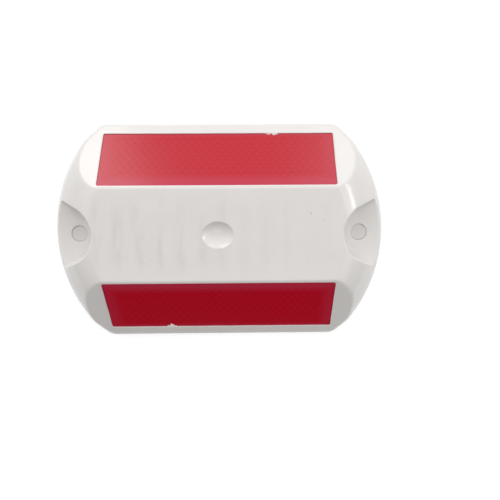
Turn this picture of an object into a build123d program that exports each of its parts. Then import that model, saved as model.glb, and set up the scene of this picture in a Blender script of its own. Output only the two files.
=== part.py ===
"""Two-way raised pavement marker: a moulded shell with a red prism lens on each sloping face.

Millimetres. X runs across the lane, along the marker's length. Y runs along the road, and each
sloping face looks along it towards traffic. Z is up. The origin is the centre of the underside.
The rear lens faces +Y and the front lens faces -Y.
"""
from build123d import *
from math import atan2, cos, hypot, radians, sin, sqrt, tan
import os

os.makedirs("parts", exist_ok=True)

# Outer form of the shell
length = 120.0              # over the two bowed ends
width = 78.8                # over the two straight long sides
height = 17.5               # from the road to the flat top
flat_top_width = 32.6       # across the flat top, from ridge to ridge
side_rim_height = 2.7       # upright edge below each sloping face
end_radius = 53.0           # plan radius of the bowed ends
corner_radius = 4.5         # plan rounding where an end meets a long side
end_rim_height = 5.2        # upright edge below each rounded end
shoulder_reach = 15.0       # from an end's edge in to the flat top
shoulder_radius = 20.6      # curve of a rounded end, seen from the side
form_edge_round = 2.4       # rounding of ridges, shoulders and the rim's upper edge

# Finger grips, one dished into each end
grip_radius = 10.8          # plan radius of the wall's inner end, at the flat top
grip_centre_inset = 5.3     # from the end's edge in to the middle of that radius
grip_flare = 27.5           # degrees that each side of the grip opens towards the end
grip_floor_height = 8.0     # lowest point of the floor above the road
grip_floor_radius = 60.0    # dishing of the floor
grip_wall_draft = 5.0       # degrees that the wall leans outwards
grip_foot_round = 1.0       # between wall and floor
grip_edge_round = 0.6       # rounding of the grip's upper edge

# Screw holes, one in each grip, closed by a plug
screw_hole_inset = 9.2      # from the end's edge in to the hole's axis
screw_hole_radius = 2.4     # clearance for the anchor screw
head_seat_radius = 2.9      # counterbore for the screw's head
head_seat_height = 6.0      # its floor above the road
plug_thickness = 1.7
plug_gap = 0.04             # around the plug in the counterbore
plug_edge_round = 0.2
seat_mouth_round = 0.4      # where the counterbore opens into the grip's floor

# Oval dimple in the middle of the flat top
dimple_length = 11.2        # along X
dimple_width = 9.4          # along Y
dimple_depth = 1.7
dimple_edge_round = 0.5

# Lenses
lens_end_inset = 18.6       # from the marker's end in to the lens
lens_ridge_margin = 1.0     # from the ridge down the slope to the lens
lens_base_margin = 4.3      # from the lens down the slope to the rim
lens_thickness = 1.8
lens_sink = 0.2             # how far the lens lies below the sloping face
lens_corner_radius = 0.8
lens_edge_round = 0.12
lens_gap = 0.08             # around lens and tray in their pocket
weld_border = 2.9           # plain border of the lens at its ends and along the ridge
weld_border_base = 1.2      # plain border along its lower edge
prism_pad_height = 0.4      # the prism field stands behind the border
prism_pad_gap = 0.3         # between the prism field and the tray's wall

# Trays that close the air gap behind the lenses
tray_floor = 0.8
tray_wall_height = 0.6
stake_radius = 1.4          # two pins behind each tray, through the pocket's floor
stake_gap = 0.1
stake_reach = 0.8           # how far a pin stands out below the pocket's floor
stake_bay_count = 3         # rib bays from the middle to a pin

# Hollow of the shell and its ribs
pocket_floor = 1.6          # shell wall behind a tray
roof_thickness = 2.6
end_wall = 3.6              # behind the rounded ends
grip_wall = 2.4             # around the finger grips
side_wall = 10.0            # from a long side in to the hollow
rib_pitch = 7.3
rib_thickness = 1.4
long_rib_offset = 12.0      # from the middle to each lengthwise rib

# Base plate, welded into a step round the hollow
plate_thickness = 2.0
plate_ledge = 1.5           # width of the step
plate_gap = 0.15
plate_corner_radius = 1.6
key_size = 5.6              # square recesses that the road adhesive fills
key_depth = 1.0
key_corner_radius = 0.8
key_margin = 1.2            # plain land along the plate's edge
peg_radius = 1.5            # four pegs, in sockets under the roof
peg_height = 4.0
peg_gap = 0.1
peg_head_room = 0.4         # above a peg in its socket
peg_offset = 6.0            # from the middle to each row of pegs
peg_bay_count = 4           # rib bays from the middle to a peg
socket_wall = 1.4

# Worked out from the sizes above
ridge_y = flat_top_width / 2
slope_run = width / 2 - ridge_y
slope_rise = height - side_rim_height
slope_angle = atan2(slope_rise, slope_run)
end_centre_x = length / 2 - end_radius
grip_x = length / 2 - grip_centre_inset
screw_x = length / 2 - screw_hole_inset
lens_length = length - 2 * lens_end_inset
lens_width = hypot(slope_run, slope_rise) - lens_ridge_margin - lens_base_margin
tray_depth = lens_sink + lens_thickness
pocket_depth = tray_depth + tray_wall_height + tray_floor
hollow_half_width = width / 2 - side_wall
peg_x = peg_bay_count * rib_pitch
stake_x = stake_bay_count * rib_pitch

# Rear slope: x along the ridge, y down the slope from the ridge, z out of the face
slope_face = Plane((0, ridge_y, height), (1, 0, 0), (0, sin(slope_angle), cos(slope_angle)))


def both_ends(shape):
    """The shape and its mirror image at the other end."""
    return shape + mirror(shape, Plane.YZ)


def half_turn(shape):
    """The shape turned from the rear slope to the front one."""
    return Rot(0, 0, 180) * shape


def slope_z(y, depth):
    """Height of the sloping face at a distance from the middle, lowered by a depth square to it."""
    return height - ((y - ridge_y) * sin(slope_angle) + depth) / cos(slope_angle)


def slope_y(z, depth):
    """Distance from the middle at which the lowered face has a given height."""
    return ridge_y + ((height - z) * cos(slope_angle) - depth) / sin(slope_angle)


# ---- Outer form

def plan_outline(inset, radius):
    """Seen from above: straight long sides and bowed ends, all drawn in by the inset."""
    reach = length / 2 - inset
    half = Pos(reach / 2, 0) * Rectangle(reach, width - 2 * inset)
    half = half & Pos(end_centre_x, 0) * Circle(end_radius - inset)
    whole = both_ends(half)
    return fillet(whole.vertices(), radius)


def shoulder_centre():
    """Centre of a rounded end's curve: distance from the end's own axis, and height."""
    rim = Vector(end_radius, end_rim_height)
    top = Vector(end_radius - shoulder_reach, height)
    chord = top - rim
    leg = sqrt(shoulder_radius**2 - (chord.length / 2) ** 2)
    return rim + chord / 2 + Vector(-chord.Y, chord.X).normalized() * leg


def rounded_end(inset, depth):
    """Half of the form, its edge drawn in by an inset and its top and shoulder lowered by a depth.

    The profile is turned about the axis of the end's plan radius.
    """
    centre = shoulder_centre()
    radius = shoulder_radius - depth
    top = height - depth
    edge_r = end_radius - inset
    edge_z = centre.Y + sqrt(radius**2 - (edge_r - centre.X) ** 2)
    top_r = centre.X + sqrt(radius**2 - (top - centre.Y) ** 2)
    middle = Vector(edge_r + top_r, edge_z + top) / 2 - centre
    crown = centre + middle.normalized() * radius
    outline = Polyline((top_r, top), (0, top), (0, 0), (edge_r, 0), (edge_r, edge_z))
    outline += ThreePointArc((edge_r, edge_z), crown, (top_r, top))
    turned = Pos(end_centre_x, 0, 0) * revolve(Plane.XZ * make_face(outline), Axis.Z)
    return turned & Pos(length / 2, 0, 0) * Box(length, width, 2 * height)


def slope_section(half_width, depth, top):
    """Flat top and two slopes along the whole length, lowered by a depth square to the slopes."""
    edge_z = slope_z(half_width, depth)
    top_y = slope_y(top, depth)
    outline = Polyline(
        (-half_width, 0), (half_width, 0), (half_width, edge_z), (top_y, top),
        (-top_y, top), (-half_width, edge_z), close=True,
    )
    return extrude(Plane.YZ * make_face(outline), length / 2, both=True)


def outer_form():
    form = both_ends(rounded_end(0, 0)) & slope_section(width / 2, 0, height)
    form = form & extrude(plan_outline(0, corner_radius), height)
    edges = form.edges()
    upper_edges = edges - edges.filter_by(Axis.Z) - edges.group_by(Axis.Z)[0]
    return fillet(upper_edges, form_edge_round)


# ---- What is cut out of the shell

def grip_plan(growth):
    """Seen from above: a round inner end, with sides that open towards the marker's end."""
    flare = radians(grip_flare)
    radius = grip_radius + growth
    touch_x = -radius * sin(flare)
    touch_y = radius * cos(flare)
    far_x = grip_centre_inset + grip_radius
    far_y = touch_y + (far_x - touch_x) * tan(flare)
    outline = Polyline((touch_x, touch_y), (far_x, far_y), (far_x, -far_y), (touch_x, -touch_y))
    outline += ThreePointArc((touch_x, -touch_y), (-radius, 0), (touch_x, touch_y))
    return Pos(grip_x, 0) * make_face(outline)


def grip_tool():
    """Finger grip: a leaning wall on the grip's plan, a dished floor and a rounded foot."""
    plan = Pos(0, 0, height) * grip_plan(0)
    room = extrude(plan, -height, taper=grip_wall_draft)
    room = room + extrude(plan, grip_radius, taper=-grip_wall_draft)
    bowl = Rot(90, 0, 0) * Sphere(grip_floor_radius)
    room = room & Pos(grip_x, 0, grip_floor_height + grip_floor_radius) * bowl
    foot = room.faces().filter_by(GeomType.SPHERE)[0].edges().sort_by(Axis.X)[:-1]
    return fillet(foot, grip_foot_round)


def dimple_tool():
    """Oval dent: an arc along X, turned about a level axis above the top."""
    low_z = height - dimple_depth
    turn_radius = ((dimple_width / 2) ** 2 + dimple_depth**2) / (2 * dimple_depth)
    arc_radius = ((dimple_length / 2) ** 2 + dimple_depth**2) / (2 * dimple_depth)
    axis_z = low_z + turn_radius
    half = dimple_length * 0.6
    end_z = low_z + arc_radius - sqrt(arc_radius**2 - half**2)
    outline = Polyline((half, end_z), (half, axis_z), (-half, axis_z), (-half, end_z))
    outline += ThreePointArc((-half, end_z), (0, low_z), (half, end_z))
    return revolve(Plane.XZ * make_face(outline), Axis((0, 0, axis_z), (1, 0, 0)))


def lens_outline(gap):
    """Rounded rectangle in the rear slope's face, grown all round by a gap."""
    middle = lens_ridge_margin + lens_width / 2
    shape = RectangleRounded(
        lens_length + 2 * gap, lens_width + 2 * gap, lens_corner_radius + gap
    )
    return Pos(0, middle) * shape


def prism_outline(gap):
    """The prism field inside the lens's plain border, grown all round by a gap."""
    field_width = lens_width - weld_border - weld_border_base
    middle = lens_ridge_margin + weld_border + field_width / 2
    field_length = lens_length - 2 * weld_border
    return Pos(0, middle) * Rectangle(field_length + 2 * gap, field_width + 2 * gap)


def on_slope(sketch, depth):
    """A sketch laid on the rear slope, at a depth below the sloping face."""
    return slope_face.offset(-depth) * sketch


def stake_outline(gap):
    """Two round pins halfway down the lens."""
    middle = lens_ridge_margin + lens_width / 2
    return both_ends(Pos(stake_x, middle) * Circle(stake_radius + gap))


def lens_pocket():
    """Room for lens and tray, with the holes for the tray's two pins."""
    pocket = extrude(on_slope(lens_outline(lens_gap), pocket_depth), pocket_depth + lens_sink)
    hole_depth = pocket_depth + pocket_floor + stake_reach + stake_gap
    holes = extrude(on_slope(stake_outline(stake_gap), hole_depth), hole_depth)
    return pocket + holes


def hollow_plan(margin):
    """The hollow seen from above, grown by a margin: clear of ends, long sides and grips."""
    plan = plan_outline(end_wall - margin, corner_radius - end_wall / 2)
    plan = plan & Rectangle(length, 2 * (hollow_half_width + margin))
    return plan - both_ends(grip_plan(grip_wall - margin))


def plate_step():
    """Outline of the step that the base plate sits in, its corners beyond the grips rounded."""
    outline = hollow_plan(plate_ledge)
    grip_reach = grip_radius + grip_wall - plate_ledge
    corners = outline.vertices().filter_by(lambda corner: abs(corner.Y) > grip_reach)
    return fillet(corners, plate_corner_radius)


def ribs():
    """Ribs across the marker between its lens ends, two along it, and the pegs' sockets."""
    bays = int(lens_length / 2 / rib_pitch + 0.5)
    across = Box(rib_thickness, width, 2 * height)
    along = Box(length, rib_thickness, 2 * height)
    web = [Pos(side * (bay + 0.5) * rib_pitch, 0, 0) * across
           for bay in range(bays) for side in (-1, 1)]
    web += [Pos(0, side * long_rib_offset, 0) * along for side in (-1, 1)]
    outer_r = peg_radius + peg_gap + socket_wall
    web += [place * Cylinder(outer_r, 2 * height) for place in peg_places()]
    return web


def peg_places():
    return [Pos(x, y, 0) for x in (-peg_x, peg_x) for y in (-peg_offset, peg_offset)]


def hollow():
    """Space under the roof, between the ribs, above the base plate."""
    space = both_ends(rounded_end(end_wall, roof_thickness))
    roof_z = height - roof_thickness
    space = space & slope_section(hollow_half_width, pocket_depth + pocket_floor, roof_z)
    space = space & Pos(0, 0, plate_thickness) * extrude(hollow_plan(0), height)
    return space - ribs()


def standing_rod(radius, low, high):
    """Upright round rod on the Z axis between two heights."""
    return Pos(0, 0, (low + high) / 2) * Cylinder(radius, high - low)


# ---- Pieces

def make_shell():
    grips = both_ends(grip_tool())
    shell = outer_form() - grips
    rims = shell.edges().filter_by(GeomType.CIRCLE).group_by(Axis.Z)[-1]
    shell = fillet(rims, grip_edge_round)
    shell = shell - dimple_tool()
    brim = shell.edges().sort_by_distance((0, 0, height))[0]
    shell = fillet(brim, dimple_edge_round)
    shell = shell - lens_pocket() - half_turn(lens_pocket()) - hollow()
    shell = shell - extrude(plate_step(), plate_thickness)
    socket = standing_rod(peg_radius + peg_gap, 0, plate_thickness + peg_height + peg_head_room)
    shell = shell - [place * socket for place in peg_places()]
    screw = standing_rod(screw_hole_radius, 0, head_seat_height)
    screw = screw + standing_rod(head_seat_radius, head_seat_height, height)
    shell = shell - both_ends(Pos(screw_x, 0, 0) * screw)
    mouths = [shell.edges().sort_by_distance((side * screw_x, head_seat_radius, grip_floor_height))[0]
              for side in (-1, 1)]
    return fillet(mouths, seat_mouth_round)


def make_lens():
    """Clear red plate, with its prism field standing behind a plain weld border."""
    plate = extrude(on_slope(lens_outline(0), tray_depth), lens_thickness)
    face = plate.faces().sort_by_distance(slope_face.origin + slope_face.z_dir * height)[0]
    plate = fillet(face.edges(), lens_edge_round)
    field = extrude(on_slope(prism_outline(0), tray_depth + prism_pad_height), prism_pad_height)
    return plate + field


def make_tray():
    """Shallow tray that seals the air gap behind the prisms, with two pins."""
    tray = extrude(on_slope(lens_outline(0), pocket_depth), tray_floor + tray_wall_height)
    tray = tray - extrude(on_slope(prism_outline(prism_pad_gap), pocket_depth - tray_floor),
                          tray_wall_height)
    pin_length = pocket_floor + stake_reach
    return tray + extrude(on_slope(stake_outline(0), pocket_depth + pin_length), pin_length)


def make_base_plate():
    """Plate with square adhesive recesses below and four pegs above."""
    outline = offset(plate_step(), -plate_gap)
    plate = extrude(outline, plate_thickness)
    plate = plate + [place * standing_rod(peg_radius, plate_thickness / 2,
                                          plate_thickness + peg_height)
                     for place in peg_places()]
    land = offset(outline, -key_margin).face()
    key = extrude(RectangleRounded(key_size, key_size, key_corner_radius), key_depth)
    keys = [place * key for place in key_places(land)]
    return plate - keys


def key_places(land):
    """Square grid on the rib pitch, where a whole recess lies inside the land."""
    columns = int(length / 2 / rib_pitch)
    rows = int(width / 2 / rib_pitch)
    half = key_size / 2
    places = []
    for column in range(-columns, columns + 1):
        for row in range(-rows, rows + 1):
            x, y = column * rib_pitch, row * rib_pitch
            corners = [(x + i * half, y + j * half, 0) for i in (-1, 1) for j in (-1, 1)]
            if all(land.is_inside(corner) for corner in corners):
                places.append(Pos(x, y, 0))
    return places


def make_plug():
    """Disc pressed into the counterbore over a screw hole."""
    plug = standing_rod(head_seat_radius - plug_gap, head_seat_height,
                        head_seat_height + plug_thickness)
    plug = fillet(plug.edges().group_by(Axis.Z)[-1], plug_edge_round)
    return Pos(screw_x, 0, 0) * plug


rear_lens = make_lens()
rear_tray = make_tray()
right_plug = make_plug()

export_step(make_shell(), "parts/shell.step")
export_step(make_base_plate(), "parts/base_plate.step")
export_step(rear_lens, "parts/rear_lens.step")
export_step(half_turn(rear_lens), "parts/front_lens.step")
export_step(rear_tray, "parts/rear_lens_tray.step")
export_step(half_turn(rear_tray), "parts/front_lens_tray.step")
export_step(right_plug, "parts/right_screw_plug.step")
export_step(mirror(right_plug, Plane.YZ), "parts/left_screw_plug.step")
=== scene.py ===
"""Looks of the raised pavement marker: white moulded ABS with clear red prism lenses, on a pale floor."""
import math

import bmesh
import bpy
import numpy as np
from mathutils import Euler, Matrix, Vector


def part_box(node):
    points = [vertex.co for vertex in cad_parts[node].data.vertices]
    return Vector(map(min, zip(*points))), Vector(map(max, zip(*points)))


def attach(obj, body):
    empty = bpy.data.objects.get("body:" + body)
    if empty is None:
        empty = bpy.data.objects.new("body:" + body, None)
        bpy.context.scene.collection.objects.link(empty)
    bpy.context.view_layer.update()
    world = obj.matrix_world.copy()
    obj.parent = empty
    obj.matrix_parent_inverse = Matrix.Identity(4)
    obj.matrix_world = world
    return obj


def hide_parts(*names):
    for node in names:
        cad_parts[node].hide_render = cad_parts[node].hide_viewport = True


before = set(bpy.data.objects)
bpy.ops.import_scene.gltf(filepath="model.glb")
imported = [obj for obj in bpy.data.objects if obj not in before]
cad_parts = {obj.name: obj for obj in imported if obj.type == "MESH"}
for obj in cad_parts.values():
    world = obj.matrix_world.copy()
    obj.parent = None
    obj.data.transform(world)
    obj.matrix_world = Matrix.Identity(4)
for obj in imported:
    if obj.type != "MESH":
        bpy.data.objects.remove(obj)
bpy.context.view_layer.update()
MM = 0.001

# The boxes of the solids give the sizes that the patterns follow, in millimetres
shell_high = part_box("shell")[1]
lens_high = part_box("rear_lens")[1]
plug_low, plug_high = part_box("right_screw_plug")
TOP = shell_high.z / MM
HALF_WIDTH = shell_high.y / MM
LENS_HALF = lens_high.x / MM
PLUG_X = (plug_low.x + plug_high.x) / 2 / MM

# The lens slope falls from the ridge line to the rim, and each lens lies a little below its surface.
# The upper and lower edges of the lenses are measured down the slope from the ridge.
RIDGE_Y = 16.3
RIM_HEIGHT = 2.7
SLOPE = math.atan2(TOP - RIM_HEIGHT, HALF_WIDTH - RIDGE_Y)
LENS_MARGIN = 4.3
LENS_TOP = 1.0
LENS_FOOT = math.hypot(TOP - RIM_HEIGHT, HALF_WIDTH - RIDGE_Y) - LENS_MARGIN
LENS_SINK = 0.2
LENS_CORNER = 0.8

# Weld bead: its start below a lens's upper edge, its middle outside the lens, half its width, its rise
BEAD_START = 0.6
BEAD_OUT = 0.12
BEAD_HALF = 0.27
BEAD_RISE = 0.2

# Flash: its root outside a lens's lower edge, its rise, and how far it stands clear of the lens
FLASH_ROOT = 0.12
FLASH_RISE = 0.3
FLASH_CLEAR = 0.01

# Patterns: weld border of a lens, prism lattice with painted light, painted sink shade over the ribs under
# the roof, rings of a plug
WELD = 2.9
PRISM_PITCH = 2.75
PRISM_ROW = 1.75
RIB_PITCH = 7.3
RIB_SHIFT = 2.0
STREAK_BEND = 1.1
SINK_SHADE_SHARE = 0.42
RING_PITCH = 0.5

# Specks of dirt: how far one reaches and how far it is darkest, then each one's place across the flat
# top and how much it darkens it
SPECK_REACH = 0.45
SPECK_CORE = 0.1
SPECKS = ((32.3, 7.3, 0.34), (37.1, 5.1, 0.16), (-35.7, 2.1, 0.14), (-19.7, 10.0, 0.12),
          (-30.0, 11.7, 0.1), (-23.7, -8.8, 0.12))

ABS_IOR = 1.54
ACRYLIC_IOR = 1.49

# Copies of the solids: corners that agree to this step are one, and edges over this angle stay sharp
MERGE_STEP = MM * 1e-5
SHARP_ANGLE = math.radians(25)

# Glow that the floor adds for the eye, beside the light that it sends back
PAPER_GLOW = 0.59


# ---- Nodes

def linear(code):
    """sRGB hex to a linear colour: the standard curve on each channel."""
    levels = [int(code[i:i + 2], 16) / 255 for i in (1, 3, 5)]
    return tuple(c / 12.92 if c <= 0.04045 else ((c + 0.055) / 1.055) ** 2.4 for c in levels) + (1.0,)


def node(tree, kind, inputs=None, **settings):
    """Adds a node, sets its properties, and links or sets its inputs by name or number.

    Only the inputs and outputs that the properties leave in use count. A node given as an input is
    linked by its first output.
    """
    made = tree.nodes.new("ShaderNode" + kind)
    for key, value in settings.items():
        setattr(made, key, value)
    in_use = [socket for socket in made.inputs if socket.enabled]
    for key, value in (inputs or {}).items():
        taker = next(socket for at, socket in enumerate(in_use) if key in (at, socket.name))
        if isinstance(value, bpy.types.Node):
            value = next(socket for socket in value.outputs if socket.enabled)
        if isinstance(value, bpy.types.NodeSocket):
            tree.links.new(value, taker)
        else:
            taker.default_value = value
    return made


def new_material(name):
    """A material whose node tree is empty."""
    material = bpy.data.materials.new(name)
    material.use_nodes = True
    material.node_tree.nodes.clear()
    return material, material.node_tree


def place_mm(tree):
    """Object coordinates in millimetres, whole and split into x, y and z."""
    where = node(tree, "TexCoord")
    place = node(tree, "VectorMath", {"Vector": where.outputs["Object"], "Scale": 1000.0}, operation="SCALE")
    return place, node(tree, "SeparateXYZ", {"Vector": place}).outputs


# ---- Finishes

def painted_sink_shade(tree, place, axes):
    """How much painted shade of the sink streaks greys the flat top, 0 to 1.

    A streak is the nearness to a line of the rib pattern, which slow noise bends and breaks up. The
    streaks fade towards the ridges and the right end, and stop at the edge of the flat top.
    """
    x, y, z = axes
    bend = node(tree, "TexNoise", {"Vector": place, "Scale": 0.11, "Detail": 2.0})
    drift = node(tree, "Math", {0: bend, 1: 2 * STREAK_BEND, 2: RIB_SHIFT - STREAK_BEND},
                 operation="MULTIPLY_ADD")
    moved = node(tree, "Math", {0: x, 1: drift}, operation="ADD")
    turns = node(tree, "Math", {0: moved, 1: RIB_PITCH}, operation="DIVIDE")
    part = node(tree, "Math", {0: turns}, operation="FRACT")
    centred = node(tree, "Math", {0: part, 1: 0.5}, operation="SUBTRACT")
    off = node(tree, "Math", {0: centred}, operation="ABSOLUTE")
    near = node(tree, "MapRange", {"Value": off, "From Min": 0.34, "From Max": 0.0, "To Min": 0.3},
                interpolation_type="SMOOTHSTEP")
    smear = node(tree, "Mapping", {"Vector": place, "Scale": (0.34, 0.07, 0.2)})
    breaks = node(tree, "TexNoise", {"Vector": smear, "Scale": 1.0, "Detail": 3.0})
    patchy = node(tree, "MapRange", {"Value": breaks, "From Min": 0.34, "From Max": 0.68})
    sideways = node(tree, "Math", {0: y}, operation="ABSOLUTE")
    inside = node(tree, "MapRange", {"Value": sideways, "From Min": 15.5, "From Max": 7.0},
                  interpolation_type="SMOOTHSTEP")
    left = node(tree, "MapRange", {"Value": x, "From Min": 20.0, "From Max": -12.0, "To Min": 0.35},
                interpolation_type="SMOOTHSTEP")
    high = node(tree, "MapRange", {"Value": z, "From Min": TOP - 0.4, "From Max": TOP - 0.05})
    streak = near
    for fade in (patchy, inside, left, high):
        streak = node(tree, "Math", {0: streak, 1: fade}, operation="MULTIPLY")
    return streak


def make_white_abs():
    """White ABS from a polished steel mould: smooth and glossy, with a faint orange peel.

    The ribs under the roof draw the plastic in as it cools, which leaves shallow sink dents across
    the flat top at the rib pitch; their shade is painted as faint greyer streaks. Handling leaves a few dark
    specks.
    """
    material, tree = new_material("white injection-moulded ABS from a polished mould")
    place, axes = place_mm(tree)
    # Flow marks: slow grey and warm clouds about 12 mm across
    clouds = node(tree, "TexNoise", {"Vector": place, "Scale": 0.08, "Detail": 3.0, "Roughness": 0.6})
    base = node(tree, "Mix", {"Factor": clouds, "A": linear("#E8E4E1"), "B": linear("#EFECE9")},
                data_type="RGBA")
    # Painted shade: faint grey streaks stand in for the shade in the sink dents over the ribs
    streaks = painted_sink_shade(tree, place, axes)
    share = node(tree, "Math", {0: streaks, 1: SINK_SHADE_SHARE}, operation="MULTIPLY")
    base = node(tree, "Mix", {"Factor": share, "A": base, "B": linear("#D2CEC8")}, data_type="RGBA")
    # Specks of road dirt: a dark dot under a millimetre across at each place
    for speck_x, speck_y, strength in SPECKS:
        gap = node(tree, "VectorMath", {0: place, 1: (speck_x, speck_y, TOP)}, operation="DISTANCE")
        dot = node(tree, "MapRange", {"Value": gap, "From Min": SPECK_REACH, "From Max": SPECK_CORE,
                                      "To Max": strength})
        base = node(tree, "Mix", {"Factor": dot, "A": base, "B": linear("#6E6A66")}, data_type="RGBA")
    # Orange peel: ripples about 1.5 mm long and a few microns high
    peel = node(tree, "TexNoise", {"Vector": place, "Scale": 0.7, "Detail": 2.0})
    bump = node(tree, "Bump", {"Height": peel, "Strength": 0.12, "Distance": 0.00006})
    shader = node(tree, "BsdfPrincipled", {"Base Color": base, "Roughness": 0.17, "IOR": ABS_IOR,
                                           "Normal": bump})
    node(tree, "OutputMaterial", {"Surface": shader})
    return material


def make_matt_abs():
    """White ABS from an unpolished, spark-eroded mould face: matt, with a fine even grain."""
    material, tree = new_material("white injection-moulded ABS from a spark-eroded mould")
    place = place_mm(tree)[0]
    # Flow marks: slow clouds about 10 mm across
    clouds = node(tree, "TexNoise", {"Vector": place, "Scale": 0.1, "Detail": 4.0, "Roughness": 0.65})
    shade = node(tree, "Mix", {"Factor": clouds, "A": linear("#DAD8D3"), "B": linear("#E6E4E0")},
                 data_type="RGBA")
    # Spark grain of 0.2 mm, drawn at 0.4 mm so that it shows
    grain = node(tree, "TexNoise", {"Vector": place, "Scale": 2.5, "Detail": 2.0})
    bump = node(tree, "Bump", {"Height": grain, "Strength": 0.35, "Distance": 0.00008})
    shader = node(tree, "BsdfPrincipled", {"Base Color": shade, "Roughness": 0.55, "IOR": ABS_IOR,
                                           "Normal": bump})
    node(tree, "OutputMaterial", {"Surface": shader})
    return material


def make_plug_abs():
    """White ABS plug pressed in from above: greyer and less glossy than the shell, with fine rings.

    The rings are the turning marks of its small mould, and they make its face look slightly spun.
    """
    material, tree = new_material("white injection-moulded ABS of a pressed-in plug")
    place, (x, y, _) = place_mm(tree)
    clouds = node(tree, "TexNoise", {"Vector": place, "Scale": 0.3, "Detail": 3.0})
    shade = node(tree, "Mix", {"Factor": clouds, "A": linear("#DDDAD6"), "B": linear("#E5E3DF")},
                 data_type="RGBA")
    # Turning marks of 0.1 mm, drawn 0.5 mm apart so that they show, round the plug's own axis
    endways = node(tree, "Math", {0: x}, operation="ABSOLUTE")
    from_axis = node(tree, "Math", {0: endways, 1: PLUG_X}, operation="SUBTRACT")
    flat = node(tree, "CombineXYZ", {"X": from_axis, "Y": y})
    reach = node(tree, "VectorMath", {"Vector": flat}, operation="LENGTH")
    turn = node(tree, "Math", {0: reach, 1: 2 * math.pi / RING_PITCH}, operation="MULTIPLY")
    ring = node(tree, "Math", {0: turn}, operation="SINE")
    bump = node(tree, "Bump", {"Height": ring, "Strength": 0.1, "Distance": 0.00002})
    shader = node(tree, "BsdfPrincipled", {"Base Color": shade, "Roughness": 0.28, "IOR": ABS_IOR,
                                           "Normal": bump})
    node(tree, "OutputMaterial", {"Surface": shader})
    return material


def prism_corner(tree, x, down):
    """The prism field: how far down from its prism's tip a point lies, and how brightly it is painted as
    lit.

    Two lattices of equal cells, the second moved by half a cell each way, make the staggered rows. A
    cell has a hexagon's proportions, root 3 wide and 2 long, with the tip in its middle. The corner's
    three sides are the greatest of three falls 120 degrees apart.
    """
    wide, long = 1.732, 2.0
    cells = []
    reaches = []
    for step in (0.0, 0.5):
        column = node(tree, "Math", {0: x, 1: 1 / PRISM_PITCH, 2: step}, operation="MULTIPLY_ADD")
        column = node(tree, "Math", {0: column}, operation="FRACT")
        column = node(tree, "Math", {0: column, 1: wide, 2: -wide / 2}, operation="MULTIPLY_ADD")
        row = node(tree, "Math", {0: down, 1: 0.5 / PRISM_ROW, 2: step}, operation="MULTIPLY_ADD")
        row = node(tree, "Math", {0: row}, operation="FRACT")
        row = node(tree, "Math", {0: row, 1: long, 2: -long / 2}, operation="MULTIPLY_ADD")
        cells.append(node(tree, "CombineXYZ", {"X": column, "Y": row}))
        reaches.append(node(tree, "VectorMath", {"Vector": cells[-1]}, operation="LENGTH"))
    second = node(tree, "Math", {0: reaches[0], 1: reaches[1]}, operation="GREATER_THAN")
    cell = node(tree, "Mix", {"Factor": second, "A": cells[0], "B": cells[1]}, data_type="VECTOR")
    falls = []
    for angle in (0, 120, 240):
        away = (math.sin(math.radians(angle)), math.cos(math.radians(angle)), 0.0)
        falls.append(node(tree, "VectorMath", {0: cell, 1: away}, operation="DOT_PRODUCT"))
    others = node(tree, "Math", {0: falls[1], 1: falls[2]}, operation="MAXIMUM")
    corner = node(tree, "Math", {0: falls[0], 1: others}, operation="MAXIMUM")
    low_side = node(tree, "Math", {0: falls[0], 1: others}, operation="GREATER_THAN")
    tip = node(tree, "MapRange", {"Value": corner, "From Min": 0.42, "From Max": 0.06, "To Max": 0.6},
               interpolation_type="SMOOTHSTEP")
    side = node(tree, "Math", {0: low_side, 1: -0.25, 2: 0.35}, operation="MULTIPLY_ADD")
    return corner, node(tree, "Math", {0: side, 1: tip}, operation="ADD")


def weld_border(tree, x, down):
    """Share of the plain weld border, 0 to 1: a soft-edged frame round the prism field."""
    endways = node(tree, "Math", {0: x}, operation="ABSOLUTE")
    field_end = LENS_HALF - WELD
    ends = node(tree, "MapRange", {"Value": endways, "From Min": field_end - 3.0,
                                   "From Max": field_end + 1.8, "To Max": 0.5},
                interpolation_type="SMOOTHSTEP")
    field_top = LENS_TOP + WELD
    upper = node(tree, "MapRange", {"Value": down, "From Min": field_top + 2.2,
                                    "From Max": field_top - 2.0}, interpolation_type="SMOOTHSTEP")
    lower = node(tree, "MapRange", {"Value": down, "From Min": LENS_FOOT - 1.9,
                                    "From Max": LENS_FOOT - 0.7, "To Max": 0.6},
                 interpolation_type="SMOOTHSTEP")
    border = node(tree, "Math", {0: ends, 1: upper}, operation="MAXIMUM")
    return node(tree, "Math", {0: border, 1: lower}, operation="MAXIMUM")


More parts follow.
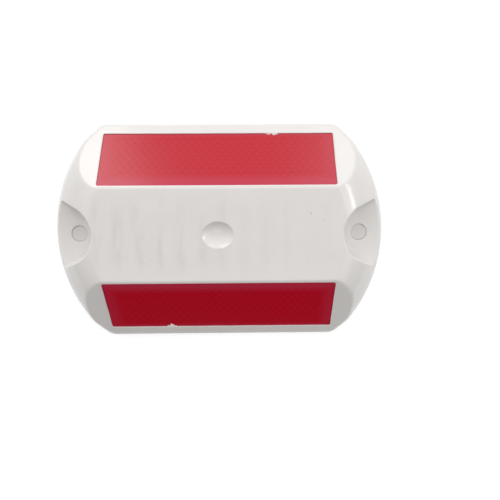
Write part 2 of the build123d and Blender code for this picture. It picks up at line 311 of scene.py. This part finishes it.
def make_red_acrylic():
    """Clear red acrylic over a white tray: a flat, finely scuffed face above a field of small prisms.

    Each prism is a three-sided corner. The light and shade on its sides are painted into the colour,
    so the field reads as a lattice of small lit points. The plain weld border round it is paler, because
    the white tray shows through. Fine scuffs make the face's reflections broad.
    """
    material, tree = new_material("clear red injection-moulded acrylic")
    x, y, _ = place_mm(tree)[1]
    # Distance in mm down the slope from the ridge
    sideways = node(tree, "Math", {0: y}, operation="ABSOLUTE")
    past = node(tree, "Math", {0: sideways, 1: RIDGE_Y}, operation="SUBTRACT")
    down = node(tree, "Math", {0: past, 1: math.cos(SLOPE)}, operation="DIVIDE")
    corner, lit = prism_corner(tree, x, down)
    border = weld_border(tree, x, down)
    # Painted light: prism tips and lit sides are painted lighter red, the low sides darker
    field = node(tree, "Mix", {"Factor": lit, "A": linear("#BA051E"), "B": linear("#CF062A")},
                 data_type="RGBA")
    colour = node(tree, "Mix", {"Factor": border, "A": field, "B": linear("#C42C46")}, data_type="RGBA")
    clear = node(tree, "Math", {0: 1.0, 1: border}, operation="SUBTRACT")
    relief = node(tree, "Math", {0: corner, 1: clear}, operation="MULTIPLY")
    bump = node(tree, "Bump", {"Height": relief, "Strength": 0.05, "Distance": 0.0004})
    shader = node(tree, "BsdfPrincipled", {"Base Color": colour, "Roughness": 0.22, "IOR": ACRYLIC_IOR,
                                           "Normal": bump})
    node(tree, "OutputMaterial", {"Surface": shader})
    return material


white_abs = make_white_abs()
matt_abs = make_matt_abs()
plug_abs = make_plug_abs()
red_acrylic = make_red_acrylic()


# ---- Pieces

def new_object(name, data):
    """An object in the scene, at the origin."""
    made = bpy.data.objects.new(name, data)
    bpy.context.scene.collection.objects.link(made)
    return made


def moulded_copy(name, cad_node, material):
    """The CAD node's own surface with its triangles joined, so that rounds and curves shade smoothly.

    Equal corners are merged, sharp edges stay sharp, and flat faces keep their own normals.
    """
    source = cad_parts[cad_node].data
    corners = np.empty(len(source.vertices) * 3)
    source.vertices.foreach_get("co", corners)
    keys = np.round(corners.reshape(-1, 3) / MERGE_STEP).astype(np.int64)
    merged, back = np.unique(keys, axis=0, return_inverse=True)
    faces = np.empty(len(source.polygons) * 3, np.int32)
    source.polygons.foreach_get("vertices", faces)
    faces = back.reshape(-1)[faces].reshape(-1, 3)
    whole = (faces[:, 0] != faces[:, 1]) & (faces[:, 1] != faces[:, 2]) & (faces[:, 0] != faces[:, 2])
    mesh = bpy.data.meshes.new(name)
    mesh.from_pydata((merged * MERGE_STEP).tolist(), [], faces[whole].tolist())
    mesh.polygons.foreach_set("use_smooth", np.ones(len(mesh.polygons), bool))
    mesh.set_sharp_from_angle(angle=SHARP_ANGLE)
    mesh.materials.append(material)
    piece = new_object(name, mesh)
    weigh = piece.modifiers.new("flat faces stay flat", "WEIGHTED_NORMAL")
    weigh.keep_sharp = True
    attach(piece, "root")
    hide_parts(cad_node)


def on_slope(side, x, down, out):
    """Points near a long side's slope, in millimetres: x, the way down from the ridge, and the way out.

    The way down is level turned by the slope's angle, and the way out is upright turned by it.
    """
    y = side * (RIDGE_Y + down * math.cos(SLOPE) + out * math.sin(SLOPE))
    z = TOP - down * math.sin(SLOPE) + out * math.cos(SLOPE)
    return np.stack([x, y, z], axis=-1).reshape(-1, 3)


def add_trim(name, points, faces):
    """Closes a grid of points in millimetres into a smooth piece of the shell's plastic."""
    mesh = bpy.data.meshes.new(name)
    mesh.from_pydata((points * MM).tolist(), [], faces.tolist())
    joined = bmesh.new()
    joined.from_mesh(mesh)
    bmesh.ops.remove_doubles(joined, verts=joined.verts, dist=1e-7)
    bmesh.ops.dissolve_degenerate(joined, edges=joined.edges, dist=1e-7)
    bmesh.ops.recalc_face_normals(joined, faces=joined.faces)
    joined.to_mesh(mesh)
    joined.free()
    mesh.polygons.foreach_set("use_smooth", np.ones(len(mesh.polygons), bool))
    mesh.materials.append(white_abs)
    piece = new_object(name, mesh)
    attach(piece, "root")


def add_weld_bead(name, side):
    """Bead of white plastic that the weld pushed up along the ends and the lower edge of a lens.

    Its path starts near the ridge, runs down one end, round a corner, along the lower edge and up the
    other end. Across the path it is an ellipse that lies half in the shell's surface. Its size falls
    to nothing at both ends of the path as the fourth root of a half wave, and ripples slowly between.
    """
    end = LENS_HALF + BEAD_OUT
    foot = LENS_FOOT + BEAD_OUT
    turn = np.linspace(0.0, math.pi / 2, 9)[1:-1]
    run = np.linspace(LENS_TOP + BEAD_START, foot - LENS_CORNER, 61)
    row = np.linspace(LENS_CORNER - end, end - LENS_CORNER, 181)
    x = np.concatenate([0.0 * run - end, LENS_CORNER - end - LENS_CORNER * np.cos(turn), row,
                        end - LENS_CORNER + LENS_CORNER * np.sin(turn), 0.0 * run + end])[:, None]
    down = np.concatenate([run, foot - LENS_CORNER + LENS_CORNER * np.sin(turn), 0.0 * row + foot,
                           foot - LENS_CORNER + LENS_CORNER * np.cos(turn), run[::-1]])[:, None]
    out_x = np.concatenate([0.0 * run - 1.0, -np.cos(turn), 0.0 * row, np.sin(turn),
                            0.0 * run + 1.0])[:, None]
    out_down = np.sqrt(1.0 - out_x ** 2)
    rows, columns = len(x), 12
    along = np.linspace(0.0, 1.0, rows)[:, None]
    around = np.linspace(0.0, 2 * math.pi, columns, endpoint=False)[None, :]
    size = np.maximum(np.sin(math.pi * along), 0.0) ** 0.25 * (1.0 + 0.12 * np.sin(along * 70.0 + side))
    across = BEAD_HALF * size * np.cos(around)
    out = BEAD_RISE * size * np.sin(around)
    points = on_slope(side, x + out_x * across, down + out_down * across, out)
    first = np.arange(rows - 1)[:, None] * columns
    column = np.arange(columns)[None, :]
    after = (column + 1) % columns
    corners = [first + column, first + after, first + columns + after, first + columns + column]
    add_trim(name, points, np.stack(corners, axis=-1).reshape(-1, 4))


def add_flash(name, start_x, end_x, side, lap, seed):
    """Thin sliver of white plastic that ran over the lower edge of a lens before it set.

    Along the edge its reach over the lens is the root of a half wave times a slow ripple. Across the
    reach its height is a half wave, so it is thickest in the middle and closes at both sides. Its
    underside is the same wave upside down, 0.3 times as high.
    """
    rows, columns = 49, 13
    along = np.linspace(0.0, 1.0, rows)[:, None]
    across = np.linspace(0.0, 1.0, columns)[None, :]
    ends = np.sqrt(np.maximum(np.sin(math.pi * along), 0.0))
    ripple = 1.0 + 0.35 * np.sin(along * 11.0 + seed) + 0.2 * np.sin(along * 23.0 + 2.0 * seed)
    x = start_x + (end_x - start_x) * along + 0.0 * across
    down = LENS_FOOT + FLASH_ROOT - lap * ends * ripple * across
    rise = FLASH_RISE * np.sin(math.pi * across) * ends
    skins = [on_slope(side, x, down, lift - LENS_SINK + FLASH_CLEAR) for lift in (rise, -0.3 * rise)]
    first = (np.arange(rows - 1)[:, None] * columns + np.arange(columns - 1)[None, :]).reshape(-1)
    quads = np.stack([first, first + columns, first + columns + 1, first + 1], axis=1)
    add_trim(name, np.concatenate(skins), np.concatenate([quads, quads[:, ::-1] + rows * columns]))


moulded_copy("marker_shell", "shell", white_abs)
moulded_copy("underside_plate", "base_plate", matt_abs)
moulded_copy("rear_prism_lens", "rear_lens", red_acrylic)
moulded_copy("front_prism_lens", "front_lens", red_acrylic)
moulded_copy("rear_air_gap_tray", "rear_lens_tray", matt_abs)
moulded_copy("front_air_gap_tray", "front_lens_tray", matt_abs)
moulded_copy("left_hole_plug", "left_screw_plug", plug_abs)
moulded_copy("right_hole_plug", "right_screw_plug", plug_abs)
add_weld_bead("rear_weld_bead", 1)
add_weld_bead("front_weld_bead", -1)
add_flash("rear_edge_flash", 17.0, 22.0, 1, 0.75, 0.6)
add_flash("front_edge_flash", -20.8, -17.0, -1, 1.15, 2.1)


# ---- Floor, light and camera

def add_floor():
    """Large level sheet just under the marker: it takes the shadow and looks white to eye and gloss."""
    reach = 3.0
    mesh = bpy.data.meshes.new("pale_floor")
    mesh.from_pydata([(-reach, -reach, 0), (reach, -reach, 0), (reach, reach, 0), (-reach, reach, 0)],
                     [], [(0, 1, 2, 3)])
    floor = new_object("pale_floor", mesh)
    floor.location.z = -0.2 * MM
    material, paper = new_material("pale paper floor")
    lit = node(paper, "BsdfDiffuse", {"Color": linear("#D0D0D0")})
    # Only what looks at the paper meets its glow, so that it adds no light to the marker's dull parts
    rays = node(paper, "LightPath").outputs
    seen = node(paper, "Math", {0: rays["Is Camera Ray"], 1: rays["Is Glossy Ray"]}, operation="MAXIMUM")
    seen = node(paper, "Math", {0: seen, 1: rays["Is Transmission Ray"]}, operation="MAXIMUM")
    strength = node(paper, "Math", {0: seen, 1: PAPER_GLOW}, operation="MULTIPLY")
    glow = node(paper, "Emission", {"Color": linear("#FFFFFF"), "Strength": strength})
    both = node(paper, "AddShader", {0: lit, 1: glow})
    node(paper, "OutputMaterial", {"Surface": both})
    mesh.materials.append(material)


def add_softbox(name, towards, distance, size, watts):
    """Area lamp that faces the marker, towards an azimuth and a height in degrees, at a distance."""
    lamp = bpy.data.lights.new(name, "AREA")
    lamp.shape = "RECTANGLE"
    lamp.size, lamp.size_y = size
    lamp.energy = watts
    azimuth, height = (math.radians(angle) for angle in towards)
    place = Vector((math.cos(height) * math.cos(azimuth), math.cos(height) * math.sin(azimuth),
                    math.sin(height))) * distance
    holder = new_object(name, lamp)
    holder.location = place
    holder.rotation_euler = place.to_track_quat("Z", "Y").to_euler()


def add_world(far_side, near_side):
    """Pale room, brighter on the far side than on the near side."""
    world = bpy.data.worlds.new("pale room")
    world.use_nodes = True
    sky = world.node_tree
    sky.nodes.clear()
    where = node(sky, "TexCoord")
    split = node(sky, "SeparateXYZ", {"Vector": where.outputs["Generated"]})
    level = node(sky, "MapRange", {"Value": split.outputs["Y"], "From Min": -0.9, "From Max": 0.3,
                                   "To Min": near_side, "To Max": far_side},
                 interpolation_type="SMOOTHSTEP")
    room = node(sky, "Background", {"Color": linear("#FFFFFF"), "Strength": level})
    node(sky, "OutputWorld", {"Surface": room})
    bpy.context.scene.world = world


def add_camera():
    """Camera almost straight above the marker, turned by small angles about each axis."""
    turn = (Euler((0, 0, 0.0078)).to_matrix() @ Euler((0, 0.0140, 0)).to_matrix()
            @ Euler((0.1424, 0, 0)).to_matrix())
    away = Vector((14.864 * MM, -12.868 * MM, 193.267 * MM))
    lens = bpy.data.cameras.new("camera")
    lens.sensor_width = 36.0
    lens.lens = 36.553
    lens.shift_x = -0.02
    lens.shift_y = 0.03
    lens.clip_start = 0.005
    camera = new_object("camera", lens)
    camera.matrix_world = turn.transposed().to_4x4()
    camera.location = turn.transposed() @ away
    bpy.context.scene.camera = camera


add_floor()
add_world(0.76, 0.025)
add_softbox("front overhead panel", (-90, 62), 0.8, (0.5, 0.4), 0.68)
add_softbox("left window", (121, 26), 0.7, (0.36, 0.36), 0.99)
add_softbox("right window", (68, 26), 0.7, (0.30, 0.36), 0.345)
add_softbox("rear panel", (94, 24), 0.9, (1.0, 0.25), 0.31)
add_softbox("left panel", (165, 45), 0.8, (0.5, 0.4), 0.17)
add_softbox("right panel", (-10, 45), 0.5, (0.3, 0.2), 0.2)
add_softbox("strip lamp", (12, 36), 0.8, (0.20, 0.09), 0.45)
add_camera()
bpy.context.scene.view_settings.view_transform = "Standard"
